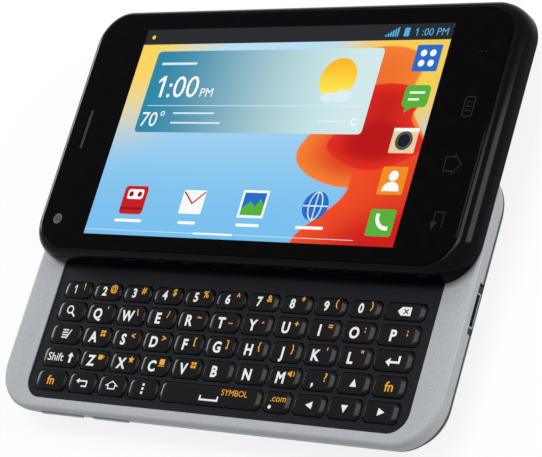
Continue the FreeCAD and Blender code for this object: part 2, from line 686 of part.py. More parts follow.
def display_housing():
    """The black tray with its outward curved rim, and channels for the rails underneath."""
    sections = [(UPPER_BOTTOM, 0, 0), (UPPER_BOTTOM + RIM_STRAIGHT, 0, 0)]
    rise_height = RIM_TOP - UPPER_BOTTOM - RIM_STRAIGHT
    for share, rise in rounding(1, rise_height, RIM_STEPS):
        sections.append((UPPER_BOTTOM + RIM_STRAIGHT + rise, share * RIM_END_INSET,
                         share * RIM_SIDE_INSET))
    tray = stacked_shell(sections, UPPER_CORNER)
    inside = rounded_block(GLASS_LENGTH + 2 * FIT, GLASS_WIDTH + 2 * FIT, GLASS_CORNER + FIT,
                           HOUSING_INSIDE, CLOSED_HEIGHT)
    tray = opened(tray.cut(inside))
    recess = block(-PLATE_HALF - FIT, PLATE_HALF + FIT, PLATE_FRONT - FIT, PLATE_BACK + FIT,
                   UPPER_BOTTOM, UPPER_BOTTOM + SLIDE_PLATE_THICKNESS)
    cuts = [recess]
    for side in (-1, 1):
        near = side * (RAIL_X - RAIL_WALL / 2 - RAIL_HOOK - CHANNEL_CLEARANCE)
        far = side * (RAIL_X + RAIL_WALL / 2 + CHANNEL_CLEARANCE)
        cuts.append(block(min(near, far), max(near, far), PLATE_FRONT - FIT, PLATE_BACK + FIT,
                          UPPER_BOTTOM, CHANNEL_TOP))
    return tray.cut(cuts)


def cover_glass():
    """The touch glass, with a slot for the earpiece."""
    pane = rounded_block(GLASS_LENGTH, GLASS_WIDTH, GLASS_CORNER, GLASS_BOTTOM, CLOSED_HEIGHT)
    rim = [edge for edge in pane.Edges
           if min(v.Z for v in edge.Vertexes) > CLOSED_HEIGHT - GLASS_BEVEL / 2]
    pane = pane.makeChamfer(GLASS_BEVEL, rim)
    slot = middle_block(EARPIECE_X, 0, EARPIECE_SLOT_WIDTH, EARPIECE_SLOT_LENGTH,
                        GLASS_BOTTOM, CLOSED_HEIGHT)
    return opened(pane.cut(slot))


def lcd_space(margin):
    return middle_block(LCD_X, LCD_Y, LCD_LENGTH + 2 * margin, LCD_WIDTH + 2 * margin,
                        GLASS_BOTTOM - LCD_THICKNESS, GLASS_BOTTOM)


def earpiece_space(margin):
    return middle_block(EARPIECE_X, 0, 2 * EARPIECE_SLOT_WIDTH + 2 * margin,
                        EARPIECE_SLOT_LENGTH + 2 + 2 * margin,
                        GLASS_BOTTOM - EARPIECE_THICKNESS, GLASS_BOTTOM)


def display_chassis():
    """The metal tray that holds the display and carries the glass on its border."""
    tray = rounded_block(GLASS_LENGTH, GLASS_WIDTH, GLASS_CORNER, HOUSING_INSIDE, GLASS_BOTTOM)
    camera = cylinder(FRONT_CAMERA_X, FRONT_CAMERA_Y, FRONT_CAMERA_RADIUS + FIT,
                      GLASS_BOTTOM - FRONT_CAMERA_HEIGHT, GLASS_BOTTOM)
    return opened(tray.cut([lcd_space(FIT), earpiece_space(FIT), camera]))


def lcd_module():
    return opened(lcd_space(0))


def earpiece():
    """The receiver, whose grille stands in the slot of the glass."""
    grille = middle_block(EARPIECE_X, 0, EARPIECE_SLOT_WIDTH - 2 * FIT, EARPIECE_SLOT_LENGTH - 2 * FIT,
                          GLASS_BOTTOM, CLOSED_HEIGHT - GLASS_BEVEL)
    return opened(earpiece_space(0).fuse(grille))


def front_camera():
    return opened(cylinder(FRONT_CAMERA_X, FRONT_CAMERA_Y, FRONT_CAMERA_RADIUS,
                           GLASS_BOTTOM - FRONT_CAMERA_HEIGHT, GLASS_BOTTOM))


# Pieces and their files

PIECES = [
    keyboard_frame, keypad_panel, keymat, snap_domes, keypad_board, keypad_chassis, rear_case,
    battery_cover, battery_pack, main_board, shield_cans, rear_camera, loudspeaker, headset_jack,
    usb_socket, case_screws, volume_up_key, volume_down_key, power_key, slide_rails, slide_plate,
    display_housing, display_chassis, lcd_module, cover_glass, earpiece, front_camera,
]

KEY_GROUPS = {
    "number_keys": list("1234567890"),
    "arrow_keys": ["up", "left", "down", "right"],
    "function_keys": ["search", "memo", "fn_left", "fn_right", "back", "home", "menu", "comma",
                      "period"],
    "space_key": ["space"],
    "enter_key": ["enter"],
    "shift_key": ["shift"],
    "backspace_key": ["backspace"],
}
for letter in "qwertyuiopasdfghjklzxcvbnm":
    KEY_GROUPS[letter + "_key"] = [letter]


def write_all():
    os.makedirs("parts", exist_ok=True)
    for piece in PIECES:
        piece().exportStep("parts/" + piece.__name__ + ".step")
    for node, names in KEY_GROUPS.items():
        caps = [key_cap(KEYS[name]) for name in names]
        shape = caps[0] if len(caps) == 1 else Part.makeCompound(caps)
        shape.exportStep("parts/" + node + ".step")


write_all()
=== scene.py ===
"""The looks of a slider phone: finishes, key legends, lit display, studio light and camera.

Places are in metres, in the frame of the construction model. Flat shapes and key caps are drawn in
millimetres, and MM turns those into metres.
"""

import json
import math

import bpy
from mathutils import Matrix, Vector

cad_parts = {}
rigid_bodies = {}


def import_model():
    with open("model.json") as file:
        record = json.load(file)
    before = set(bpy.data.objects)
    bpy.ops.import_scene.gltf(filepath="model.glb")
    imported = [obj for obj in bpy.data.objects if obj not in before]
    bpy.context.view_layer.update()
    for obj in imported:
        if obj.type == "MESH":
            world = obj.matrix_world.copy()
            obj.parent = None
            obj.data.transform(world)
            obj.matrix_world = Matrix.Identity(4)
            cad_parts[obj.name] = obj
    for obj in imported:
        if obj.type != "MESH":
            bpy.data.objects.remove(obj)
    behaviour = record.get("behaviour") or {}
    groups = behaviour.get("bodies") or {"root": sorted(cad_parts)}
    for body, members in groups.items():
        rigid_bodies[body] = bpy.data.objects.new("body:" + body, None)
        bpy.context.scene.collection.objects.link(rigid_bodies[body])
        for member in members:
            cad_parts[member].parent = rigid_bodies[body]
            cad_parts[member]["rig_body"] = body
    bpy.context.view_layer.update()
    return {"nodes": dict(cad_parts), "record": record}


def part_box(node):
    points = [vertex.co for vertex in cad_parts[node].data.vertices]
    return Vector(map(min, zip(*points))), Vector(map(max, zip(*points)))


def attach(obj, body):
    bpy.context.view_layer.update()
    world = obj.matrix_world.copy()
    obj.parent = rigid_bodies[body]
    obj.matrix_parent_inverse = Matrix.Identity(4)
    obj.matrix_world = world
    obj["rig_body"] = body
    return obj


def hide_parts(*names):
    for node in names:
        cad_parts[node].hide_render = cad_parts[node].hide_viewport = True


MM = 0.001

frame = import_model()

# Camera
CAMERA_PLACE = (0.32979, -0.14010, 0.38882)
CAMERA_TURN = (28.867, 33.973, 19.197)
LENS_LENGTH = 160.5
SENSOR_WIDTH = 36.0

# Heights of the inks and of the picture over the surfaces that carry them
INK_LIFT = 0.012 * MM
LAYER = 0.006 * MM

# Legends: heights and shifts in millimetres, weights as shares of the typeface's size
CAPITAL_SHARE = 0.70
LETTER_HEIGHT = 2.4
LETTER_WEIGHT = 0.034
LETTER_RISE = -0.15
DIGIT_RISE = 0.1
LEGEND_SHIFT = 0.25
LETTER_NARROW = 0.92
LETTER_PLACE = 0.40
ALTERNATE_HEIGHT = 1.5
ALTERNATE_WEIGHT = 0.02
ALTERNATE_PLACE = 0.75
ALTERNATE_RISE = 0.95
USUAL_KEY_DEPTH = 3.9
MARK_LINE = 0.22

# Key caps, in millimetres
CAD_KEY_BEVEL = 0.3
CAP_CORNER = 1.4
CAP_ROUNDING = 0.38
CAP_SLOPE = 1.5
CAP_STEPS = 7
CAP_LIP = 0.22
WIDE_KEY = 20

# The lit picture and the lens at the back, in millimetres
SCREEN_LENGTH = 86.0
SCREEN_WIDTH = 51.6
STATUS_BAR = 3.9
LENS_SETBACK = 0.45
LENS_RADIUS = 1.9
LENS_RISE = 0.3

# Edges that bend by less than this, in degrees, are shaded as smooth
SMOOTH_BELOW = 32
SOFT_EDGES = {"silver_frame": 0.12}

# Studio. The world is dim for the object and white for the camera, gloss and glass
FLOOR_REACH = 3.0
FLOOR_DROP = 0.0002
FLOOR_DARK = (0.86, 0.86, 0.86, 1)
FLOOR_LIGHT = (0.9, 0.9, 0.9, 1)
FLOOR_GLOW = 0.85
WORLD_FILL = 0.42
WORLD_SEEN = 1.0

# Lamps: place, what they aim at, size and power
LAMPS = {
    "top_light": ((-0.11, 0.25, 0.93), (-0.11, 0.25, 0), (0.62, 0.25), 5.0),
    "right_light": ((0.8, 0.24, 0.3), (0.05, 0.03, 0), (0.24, 0.5), 4.2),
    "left_light": ((-0.85, 0.26, 0.2), (0, 0, 0), (0.24, 0.34), 2.6),
}


def linear(red, green, blue):
    """A colour given as screen values from 0 to 255, for a shader."""
    parts = []
    for value in (red, green, blue):
        share = value / 255
        parts.append(share / 12.92 if share <= 0.04045 else ((share + 0.055) / 1.055) ** 2.4)
    return (*parts, 1.0)


# Materials


class Nodes:
    """Short calls for building one material's nodes."""

    def __init__(self, name):
        self.material = bpy.data.materials.new(name)
        self.material.use_nodes = True
        self.tree = self.material.node_tree
        self.shader = self.tree.nodes["Principled BSDF"]
        self.place = self.add("ShaderNodeTexCoord").outputs["Object"]

    def add(self, kind, **inputs):
        node = self.tree.nodes.new(kind)
        for key, value in inputs.items():
            self.feed(node.inputs[key.replace("_", " ")], value)
        return node

    def feed(self, socket, value):
        if isinstance(value, bpy.types.NodeSocket):
            self.tree.links.new(value, socket)
        else:
            socket.default_value = value

    def set(self, **inputs):
        for key, value in inputs.items():
            self.feed(self.shader.inputs[key.replace("_", " ")], value)

    def calc(self, operation, first, second=0.0, third=0.0):
        node = self.tree.nodes.new("ShaderNodeMath")
        node.operation = operation
        for socket, value in zip(node.inputs, (first, second, third)):
            self.feed(socket, value)
        return node.outputs[0]

    def noise(self, size, detail=3.0, stretch=(1, 1, 1)):
        """Noise whose grains are about size metres across, longer where stretch is small."""
        mapping = self.add("ShaderNodeMapping", Vector=self.place)
        mapping.inputs["Scale"].default_value = stretch
        noise = self.add("ShaderNodeTexNoise", Vector=mapping.outputs[0])
        noise.inputs["Scale"].default_value = 1 / size
        noise.inputs["Detail"].default_value = detail
        return noise.outputs["Fac"]

    def blend(self, share, first, second):
        node = self.tree.nodes.new("ShaderNodeMix")
        node.data_type = "RGBA"
        self.feed(node.inputs["Factor"], share)
        self.feed(node.inputs["A"], first)
        self.feed(node.inputs["B"], second)
        return node.outputs["Result"]

    def between(self, value, low, high):
        """0 at low and 1 at high, smooth in between."""
        node = self.tree.nodes.new("ShaderNodeMapRange")
        node.interpolation_type = "SMOOTHSTEP"
        self.feed(node.inputs["Value"], value)
        node.inputs["From Min"].default_value = low
        node.inputs["From Max"].default_value = high
        return node.outputs["Result"]

    def bump(self, height, depth):
        bump = self.add("ShaderNodeBump", Height=height)
        bump.inputs["Distance"].default_value = depth
        bump.inputs["Strength"].default_value = 1.0
        self.tree.links.new(bump.outputs["Normal"], self.shader.inputs["Normal"])

    def light_up(self, colour):
        """A black surface with a slight gloss that gives off the colour."""
        self.set(Base_Color=(0, 0, 0, 1), Roughness=0.05, Specular_IOR_Level=0.02)
        self.set(Emission_Color=colour, Emission_Strength=1.0)


def finish_surface(name, dark, light, roughness, grain, depth, metallic=0.0, stretch=(1, 1, 1),
                   specular=0.5):
    """A surface of two close shades. Its grain, in millimetres, shows in colour, gloss and relief."""
    nodes = Nodes(name)
    fine = nodes.noise(grain * MM, 4.0, stretch)
    nodes.set(Base_Color=nodes.blend(nodes.between(fine, 0.3, 0.7), linear(*dark), linear(*light)))
    nodes.set(Roughness=nodes.calc("MULTIPLY_ADD", fine, roughness * 0.3, roughness * 0.85))
    nodes.set(Metallic=metallic, Specular_IOR_Level=specular)
    nodes.bump(fine, depth * MM)
    return nodes.material


FINISHES = {
    "silver_paint": dict(dark=(142, 146, 150), light=(162, 166, 170), roughness=0.5, grain=0.09,
                         depth=0.003, metallic=0.15, stretch=(1, 0.3, 1), specular=0.3),
    "navy_plate": dict(dark=(11, 14, 20), light=(18, 22, 28), roughness=0.45, grain=0.10,
                       depth=0.003, specular=0.06),
    "key_plastic": dict(dark=(7, 7, 7), light=(11, 11, 11), roughness=0.2, grain=0.08,
                        depth=0.001, specular=0.09),
    "mat_rubber": dict(dark=(8, 8, 8), light=(14, 14, 14), roughness=0.7, grain=0.1,
                       depth=0.004, specular=0.2),
    "board_green": dict(dark=(14, 52, 34), light=(22, 72, 46), roughness=0.35, grain=0.6,
                        depth=0.01),
    "sheet_metal": dict(dark=(150, 150, 150), light=(190, 190, 188), roughness=0.32, grain=0.10,
                        depth=0.0006, metallic=1.0, stretch=(1, 0.06, 1)),
    "cast_metal": dict(dark=(150, 152, 156), light=(180, 182, 186), roughness=0.5, grain=0.2,
                       depth=0.01, metallic=1.0),
    "case_plastic": dict(dark=(22, 23, 25), light=(32, 33, 36), roughness=0.45, grain=0.15,
                         depth=0.006, specular=0.25),
    "cover_plastic": dict(dark=(26, 27, 29), light=(38, 39, 42), roughness=0.55, grain=0.25,
                          depth=0.015, specular=0.3),
    "battery_film": dict(dark=(44, 47, 52), light=(58, 61, 66), roughness=0.4, grain=0.5,
                         depth=0.004),
    "part_black": dict(dark=(12, 12, 13), light=(20, 20, 21), roughness=0.5, grain=0.1,
                       depth=0.006, specular=0.3),
    "gloss_black": dict(dark=(2, 2, 3), light=(4, 4, 5), roughness=0.14, grain=2.0,
                        depth=0.0004, specular=0.06),
    "printed_glass": dict(dark=(3, 3, 4), light=(5, 5, 6), roughness=0.05, grain=3.0,
                          depth=0.0002, specular=0.02),
}
SLOT_FINISHES = {
    "silver_frame": "silver_paint", "navy_panel": "navy_plate", "key_black": "key_plastic",
    "mat_rubber": "mat_rubber", "circuit_board": "board_green", "dome_metal": "sheet_metal",
    "chassis_metal": "cast_metal", "case_dark": "case_plastic", "cover_dark": "cover_plastic",
    "battery_wrap": "battery_film", "sheet_steel": "sheet_metal", "component_black": "part_black",
    "gloss_black": "gloss_black", "touch_glass": "printed_glass", "lcd_glass": "printed_glass",
}


def lens_glass():
    nodes = Nodes("lens_glass")
    ring = nodes.noise(0.6 * MM)
    tint = nodes.blend(nodes.between(ring, 0.3, 0.7), linear(10, 14, 34), linear(26, 18, 44))
    nodes.set(Base_Color=tint, Roughness=0.03, Specular_IOR_Level=0.8)
    return nodes.material


def ink(name, colour, specular=0.5):
    """Printed ink with a faint fleck."""
    nodes = Nodes(name)
    fleck = nodes.between(nodes.noise(0.15 * MM), 0.2, 0.8)
    low = [0.92 * part for part in linear(*colour)[:3]] + [1.0]
    nodes.set(Base_Color=nodes.blend(fleck, low, linear(*colour)), Roughness=0.5)
    nodes.set(Specular_IOR_Level=specular)
    return nodes.material


def lit(name, colour, second=None, low=0.0, high=1.0, along="X"):
    """Part of the lit picture: one colour, or two that meet between low and high, in millimetres."""
    nodes = Nodes(name)
    split = nodes.add("ShaderNodeSeparateXYZ", Vector=nodes.place)
    share = nodes.between(split.outputs[along], low * MM, high * MM)
    nodes.light_up(nodes.blend(share, linear(*colour), linear(*(second or colour))))
    return nodes.material


# Flat shapes, as lists of x, y points in millimetres


def rect(x_low, x_high, y_low, y_high):
    return [(x_low, y_low), (x_high, y_low), (x_high, y_high), (x_low, y_high)]


def arc_points(x, y, radius, start, end, steps=16):
    points = []
    for step in range(steps + 1):
        turn = math.radians(start + (end - start) * step / steps)
        points.append((x + radius * math.cos(turn), y + radius * math.sin(turn)))
    return points


def rounded(x_low, x_high, y_low, y_high, radius, steps=5):
    points = []
    corners = ((x_high - radius, y_high - radius, 0), (x_low + radius, y_high - radius, 90),
               (x_low + radius, y_low + radius, 180), (x_high - radius, y_low + radius, 270))
    for x, y, start in corners:
        points += arc_points(x, y, radius, start, start + 90, steps)
    return points


def oval(x, y, radius_x, radius_y=None, steps=32):
    radius_y = radius_y or radius_x
    return [(x + radius_x * math.cos(2 * math.pi * step / steps),
             y + radius_y * math.sin(2 * math.pi * step / steps)) for step in range(steps)]


MITRE_LIMIT = 0.4


def stroke(path, width, closed=False, level=0):
    """A line of even width with mitred bends, as quads that share their ends."""
    count = len(path)
    left = []
    right = []
    for index, (x, y) in enumerate(path):
        before = path[index - 1] if index or closed else path[index]
        after = path[(index + 1) % count] if index + 1 < count or closed else path[index]
        first = Vector((x - before[0], y - before[1])).normalized()
        second = Vector((after[0] - x, after[1] - y)).normalized()
        along = (first + second).normalized()
        side = Vector((-along.y, along.x))
        reference = second if second.length else first
        spread = width / 2 / max(MITRE_LIMIT, abs(along.dot(reference)))
        left.append((x + side.x * spread, y + side.y * spread, level))
        right.append((x - side.x * spread, y - side.y * spread, level))
    shapes = []
    for index in range(count if closed else count - 1):
        after = (index + 1) % count
        shapes.append([left[index], right[index], right[after], left[after]])
    return shapes


def level_up(shapes, level):
    """The same shapes, a hair higher, where they lie over others of their ink."""
    return [[(point[0], point[1], level) for point in shape] for shape in shapes]


def moved(shapes, x, y, scale=1.0, narrow=1.0):
    """The same shapes, scaled about 0, 0 and then moved. Narrow scales their width alone."""
    return [[(x + scale * narrow * point[0], y + scale * point[1], *point[2:]) for point in shape]
            for shape in shapes]


def one_shape():
    """The figure 1 with its flag, in units of its height."""
    return [[(0.02, 0.0), (0.16, 0.0), (0.16, 1.0), (0.02, 1.0)],
            [(0.02, 1.0), (-0.20, 0.80), (-0.20, 0.66), (0.02, 0.80)]]


def add_object(name, data):
    """Put a mesh, lettering, lamp or camera into the scene."""
    holder = bpy.data.objects.new(name, data)
    bpy.context.scene.collection.objects.link(holder)
    return holder


def text_shapes(words, height, weight=0.0):
    """Lettering as polygons, centred on 0, 0. Height is that of a capital."""
    if words == "1":
        return moved(one_shape(), 0, -height / 2, height)
    curve = bpy.data.curves.new("lettering", "FONT")
    curve.body = words
    curve.size = 1.0
    curve.offset = weight
    curve.resolution_u = 3
    holder = add_object("lettering", curve)
    bpy.context.view_layer.update()
    state = bpy.context.evaluated_depsgraph_get()
    mesh = bpy.data.meshes.new_from_object(holder.evaluated_get(state))
    points = [(v.co.x, v.co.y) for v in mesh.vertices]
    faces = [[points[index] for index in face.vertices] for face in mesh.polygons]
    bpy.data.meshes.remove(mesh)
    bpy.data.objects.remove(holder)
    scale = height / CAPITAL_SHARE
    middle_x = (min(p[0] for p in points) + max(p[0] for p in points)) / 2
    return moved(faces, -middle_x * scale, -CAPITAL_SHARE / 2 * scale, scale)


def flat_piece(name, layers, z, body):
    """One mesh of flat shapes at height z (metres). Layers are shapes with a material."""
    points = []
    faces = []
    owners = []
    mesh = bpy.data.meshes.new(name)
    for number, (shapes, material) in enumerate(layers):
        mesh.materials.append(material)
        for shape in shapes:
            first = len(points)
            points += [(point[0] * MM, point[1] * MM, z + sum(point[2:]) * LAYER)
                       for point in shape]
            faces.append(list(range(first, len(points))))
            owners.append(number)
    mesh.from_pydata(points, [], faces)
    for face, owner in zip(mesh.polygons, owners):
        face.material_index = owner
        if face.normal.z < 0:
            face.flip()
    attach(add_object(name, mesh), body)


def ring_faces(first, rings, around):
    """Quads between rings of points that follow each other from the first point on."""
    faces = []
    for ring in range(rings - 1):
        start = first + ring * around
        for step in range(around):
            after = (step + 1) % around
            faces.append([start + step, start + after,
                          start + around + after, start + around + step])
    return faces


# Finishes of the construction's own nodes


def weld(node):
    modifier = node.modifiers.new("weld", "WELD")
    modifier.merge_threshold = 0.001 * MM


def soften(node, width):
    """Round a node's edges, as moulding does, without moving its faces."""
    bevel = node.modifiers.new("bevel", "BEVEL")
    bevel.width = width
    bevel.segments = 3
    bevel.limit_method = "ANGLE"
    bevel.angle_limit = math.radians(25)
    bevel.use_clamp_overlap = True


def smoothing_group():
    group = bpy.data.node_groups.new("smoothing", "GeometryNodeTree")
    group.interface.new_socket("Geometry", in_out="INPUT", socket_type="NodeSocketGeometry")
    group.interface.new_socket("Geometry", in_out="OUTPUT", socket_type="NodeSocketGeometry")
    start = group.nodes.new("NodeGroupInput")
    finish = group.nodes.new("NodeGroupOutput")
    angle = group.nodes.new("GeometryNodeInputMeshEdgeAngle")
    small = group.nodes.new("FunctionNodeCompare")
    small.operation = "LESS_THAN"
    small.inputs["B"].default_value = math.radians(SMOOTH_BELOW)
    edges = group.nodes.new("GeometryNodeSetShadeSmooth")
    edges.domain = "EDGE"
    faces = group.nodes.new("GeometryNodeSetShadeSmooth")
    faces.domain = "FACE"
    group.links.new(angle.outputs["Unsigned Angle"], small.inputs["A"])
    group.links.new(small.outputs["Result"], edges.inputs["Shade Smooth"])
    group.links.new(start.outputs["Geometry"], edges.inputs["Geometry"])
    group.links.new(edges.outputs["Geometry"], faces.inputs["Geometry"])
    group.links.new(faces.outputs["Geometry"], finish.inputs["Geometry"])
    return group


SMOOTHING = smoothing_group()


def smooth(piece):
    modifier = piece.modifiers.new("smoothing", "NODES")
    modifier.node_group = SMOOTHING


def dress_nodes():
    """Give every node its finish, and return the finishes by material slot."""
    finishes = {slot: finish_surface(name, **FINISHES[name])
                for slot, name in SLOT_FINISHES.items()}
    for part in frame["record"]["subparts"]:
        node = frame["nodes"][part["node"]]
        slot = part["material_slot"]
        node.data.materials.clear()
        node.data.materials.append(finishes[slot])
        weld(node)
        if slot in SOFT_EDGES:
            soften(node, SOFT_EDGES[slot] * MM)
        smooth(node)
    return finishes


# Key legends

WHITE_INK = ink("white_ink", (226, 226, 224), 0.2)
AMBER_INK = ink("amber_ink", (230, 160, 36), 0.2)
FAINT_INK = ink("faint_ink", (30, 30, 33), 0.05)
CROSS_INK = ink("cross_ink", (24, 24, 24))


def key_tops(node_name):
    """The flat top of each key in a node, in rows from the back, as limits in millimetres."""
    mesh = frame["nodes"][node_name].data
    top = max(vertex.co.z for vertex in mesh.vertices)
    groups = []
    for face in mesh.polygons:
        if any(mesh.vertices[index].co.z < top - 0.01 * MM for index in face.vertices):
            continue
        keys = {tuple(round(part, 6) for part in mesh.vertices[index].co.xy)
                for index in face.vertices}
        touching = [group for group in groups if group & keys]
        for group in touching:
            groups.remove(group)
            keys |= group
        groups.append(keys)
    tops = []
    for group in groups:
        xs = [x / MM for x, y in group]
        ys = [y / MM for x, y in group]
        tops.append((min(xs), max(xs), min(ys), max(ys)))
    tops.sort(key=lambda limits: (-round(limits[2]), limits[0]))
    return top, tops


def cap_rings(limits, levels, slopes):
    """Outlines of one key from its lip up to its flat top. Slopes are for its two ends."""
    x_low, x_high, y_low, y_high = limits
    lip_bottom, lip_top, top = levels
    lip = rounded(x_low - CAP_LIP, x_high + CAP_LIP, y_low - CAP_LIP, y_high + CAP_LIP, CAP_CORNER)
    rings = [(lip, lip_bottom), (lip, lip_top), (rounded(*limits, CAP_CORNER), lip_top)]
    for step in range(CAP_STEPS + 1):
        turn = math.radians(90) * step / CAP_STEPS
        share = 1 - math.cos(turn)
        inset = CAP_ROUNDING * share
        left, right = (slope * share ** 0.7 for slope in slopes)
        outline = rounded(x_low + left, x_high - right, y_low + inset, y_high - inset,
                          CAP_CORNER - inset)
        rings.append((outline, top - CAP_ROUNDING * (1 - math.sin(turn))))
    return rings


def key_caps(name, material):
    """Moulded key caps, each with a rounded slope at the end away from the keyboard's middle."""
    node = frame["nodes"][name]
    top, tops = key_tops(name)
    heights = sorted({round(vertex.co.z, 6) for vertex in node.data.vertices})
    levels = (heights[0] / MM, heights[1] / MM, top / MM)
    mesh = bpy.data.meshes.new("cap_" + name)
    points = []
    faces = []
    for x_low, x_high, y_low, y_high in tops:
        limits = (x_low - CAD_KEY_BEVEL, x_high + CAD_KEY_BEVEL,
                  y_low - CAD_KEY_BEVEL, y_high + CAD_KEY_BEVEL)
        on_left = (x_low + x_high) / 2 < FIELD_MIDDLE
        wide = x_high - x_low > WIDE_KEY
        slopes = (CAP_SLOPE if on_left or wide else CAP_ROUNDING,
                  CAP_SLOPE if wide or not on_left else CAP_ROUNDING)
        first = len(points)
        rings = cap_rings(limits, levels, slopes)
        around = len(rings[0][0])
        for outline, z in rings:
            points += [(x * MM, y * MM, z * MM) for x, y in outline]
        faces += ring_faces(first, len(rings), around)
        faces.append(list(range(first + around - 1, first - 1, -1)))
        faces.append(list(range(len(points) - around, len(points))))
    mesh.from_pydata(points, [], faces)
    mesh.materials.append(material)
    piece = add_object("cap_" + name, mesh)
    smooth(piece)
    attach(piece, node["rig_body"])
    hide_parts(name)


# Drawings on the keys, in millimetres from the middle of each


def magnifier():
    ring = stroke(arc_points(-0.35, 0.3, 0.85, 0, 345, 23), 0.32, closed=True)
    return ring + level_up(stroke([(0.3, -0.35), (1.35, -1.3)], 0.4), 1)


def memo():
    lines = []
    for row in range(4):
        y = 0.95 - 0.6 * row
        lines += stroke([(-0.95, y), (0.75, y)], 0.3)
    return lines + stroke([(0.55, -1.1), (1.6, 1.1)], 0.3, level=1)


def backspace():
    return [[(-1.7, 0), (-0.8, 0.95), (1.6, 0.95), (1.6, -0.95), (-0.8, -0.95)]]


def backspace_cross():
    return stroke([(-0.2, 0.5), (0.9, -0.5)], 0.3, level=1) \
        + stroke([(-0.2, -0.5), (0.9, 0.5)], 0.3, level=2)


def enter_arrow():
    return stroke([(1.5, 1.1), (1.5, -0.35), (-0.65, -0.35)], 0.5) \
        + [[(-1.8, -0.35), (-0.65, 0.6), (-0.65, -1.3)]]


def shift_arrow():
    return [[(0, 1.3), (0.85, 0.3), (-0.85, 0.3)], rect(-0.32, 0.32, -1.2, 0.3)]


def back_arrow():
    return stroke([(-0.8, 0.4), (1.5, 0.4), (1.5, -0.8), (0.1, -0.8)], 0.34) \
        + [[(-1.7, 0.4), (-0.8, 1.05), (-0.8, -0.25)]]


def home_outline():
    outline = [(-0.95, -0.75), (0.95, -0.75), (0.95, 0.0), (1.6, 0.0), (0, 1.0),
               (-1.6, 0.0), (-0.95, 0.0)]
    return stroke(outline, 0.27, closed=True)


def menu_dots():
    return [rect(-0.3, 0.3, y - 0.28, y + 0.28) for y in (-0.95, 0.0, 0.95)]


def space_bracket():
    return stroke([(-2.4, 0.55), (-2.4, -0.4), (2.4, -0.4), (2.4, 0.55)], 0.42)


def triangle(turn):
    """A filled arrow head that points right, turned by so many degrees."""
    cos = math.cos(math.radians(turn))
    sin = math.sin(math.radians(turn))
    points = [(0.95, 0), (-0.75, 0.85), (-0.75, -0.85)]
    return [[(x * cos - y * sin, x * sin + y * cos) for x, y in points]]


def small_picture(kind):
    """The little amber symbols at a key's upper right."""
    if kind == "cup":
        return [rounded(-0.75, 0.45, -0.6, 0.5, 0.25)] \
            + stroke(arc_points(0.55, 0, 0.3, -90, 90, 8), 0.2)
    if kind == "star":
        points = []
        for step in range(10):
            radius = 0.9 if step % 2 == 0 else 0.4
            turn = math.radians(90 + 36 * step)
            points.append((radius * math.cos(turn), radius * math.sin(turn)))
        return [points]
    if kind == "sheet":
        return [rounded(-0.7, 0.7, -0.55, 0.75, 0.15)] + stroke([(-0.9, -0.85), (0.9, -0.85)], 0.2)
    if kind == "grid":
        return [rect(x, x + 0.6, y, y + 0.6) for x in (-0.7, 0.1) for y in (-0.7, 0.1)]
    return [rect(-0.9, -0.5, -0.3, 0.3), [(-0.5, -0.3), (0.1, -0.75), (0.1, 0.75), (-0.5, 0.3)]] \
        + stroke(arc_points(0.0, 0, 0.75, -45, 45, 6), 0.2)


ICONS = {
    "magnifier": magnifier, "memo": memo, "enter": enter_arrow, "back": back_arrow,
    "home": home_outline, "menu": menu_dots, "backspace": backspace,
}
ARROW_TURNS = {"right": 0, "up": 90, "left": 180, "down": 270}
SMALL_PICTURES = ("cup", "star", "sheet", "grid", "sound")

ALTERNATES = {
    "1": "!", "2": "@", "3": "#", "4": "$", "5": "%",
    "6": "^", "7": "&", "8": "*", "9": "(", "0": ")",
    "Q": "'", "W": "\\", "E": "/", "R": "~", "T": "_",
    "Y": "-", "U": "+", "I": "=", "O": ":", "P": ";",
    "A": "grid", "S": "<", "D": ">", "F": "[", "G": "]", "H": "{", "J": "}", "K": "'", "L": '"',
    "Z": "cup", "X": "star", "C": "sheet", "V": "grid", "M": "sound",
}

# Words on the special keys: text, height, weight, and how far right and up from the key's middle
KEY_WORDS = {
    "fn": ("fn", 2.1, 0.012, 0, 0),
    "shift": ("Shift", 1.9, 0.004, -1.4, 0),
    "symbol": ("SYMBOL", 1.35, 0.0, 6.6, 0.95),
    "comma": (",", LETTER_HEIGHT, 0.022, -1.4, 0),
    "question": ("?", 1.9, 0.012, 1.6, 0.7),
    "com": (".com", 1.5, 0.0, 0.2, 0.8),
}


def letter_key(letter, limits):
    """The white letter and the amber alternate of a letter or digit key."""
    x_low, x_high, y_low, y_high = limits
    middle = (y_low + y_high) / 2
    shrink = min(1.0, (y_high - y_low) / USUAL_KEY_DEPTH)
    shift = LEGEND_SHIFT if (x_low + x_high) / 2 > FIELD_MIDDLE else 0
    rise = DIGIT_RISE if letter.isdigit() else LETTER_RISE
    white = moved(text_shapes(letter, LETTER_HEIGHT * shrink, LETTER_WEIGHT),
                  x_low + (x_high - x_low) * LETTER_PLACE - shift, middle + rise,
                  narrow=LETTER_NARROW)
    alternate = ALTERNATES.get(letter)
    amber = []
    if alternate:
        place = (x_low + (x_high - x_low) * ALTERNATE_PLACE - shift,
                 middle + rise + ALTERNATE_RISE * shrink)
        if alternate in SMALL_PICTURES:
            amber = moved(small_picture(alternate), *place)
        else:
            amber = moved(text_shapes(alternate, ALTERNATE_HEIGHT, ALTERNATE_WEIGHT), *place)
    return white, amber


def key_word(kind, x, y):
    words, height, weight, right, up = KEY_WORDS[kind]
    return moved(text_shapes(words, height, weight), x + right, y + up)


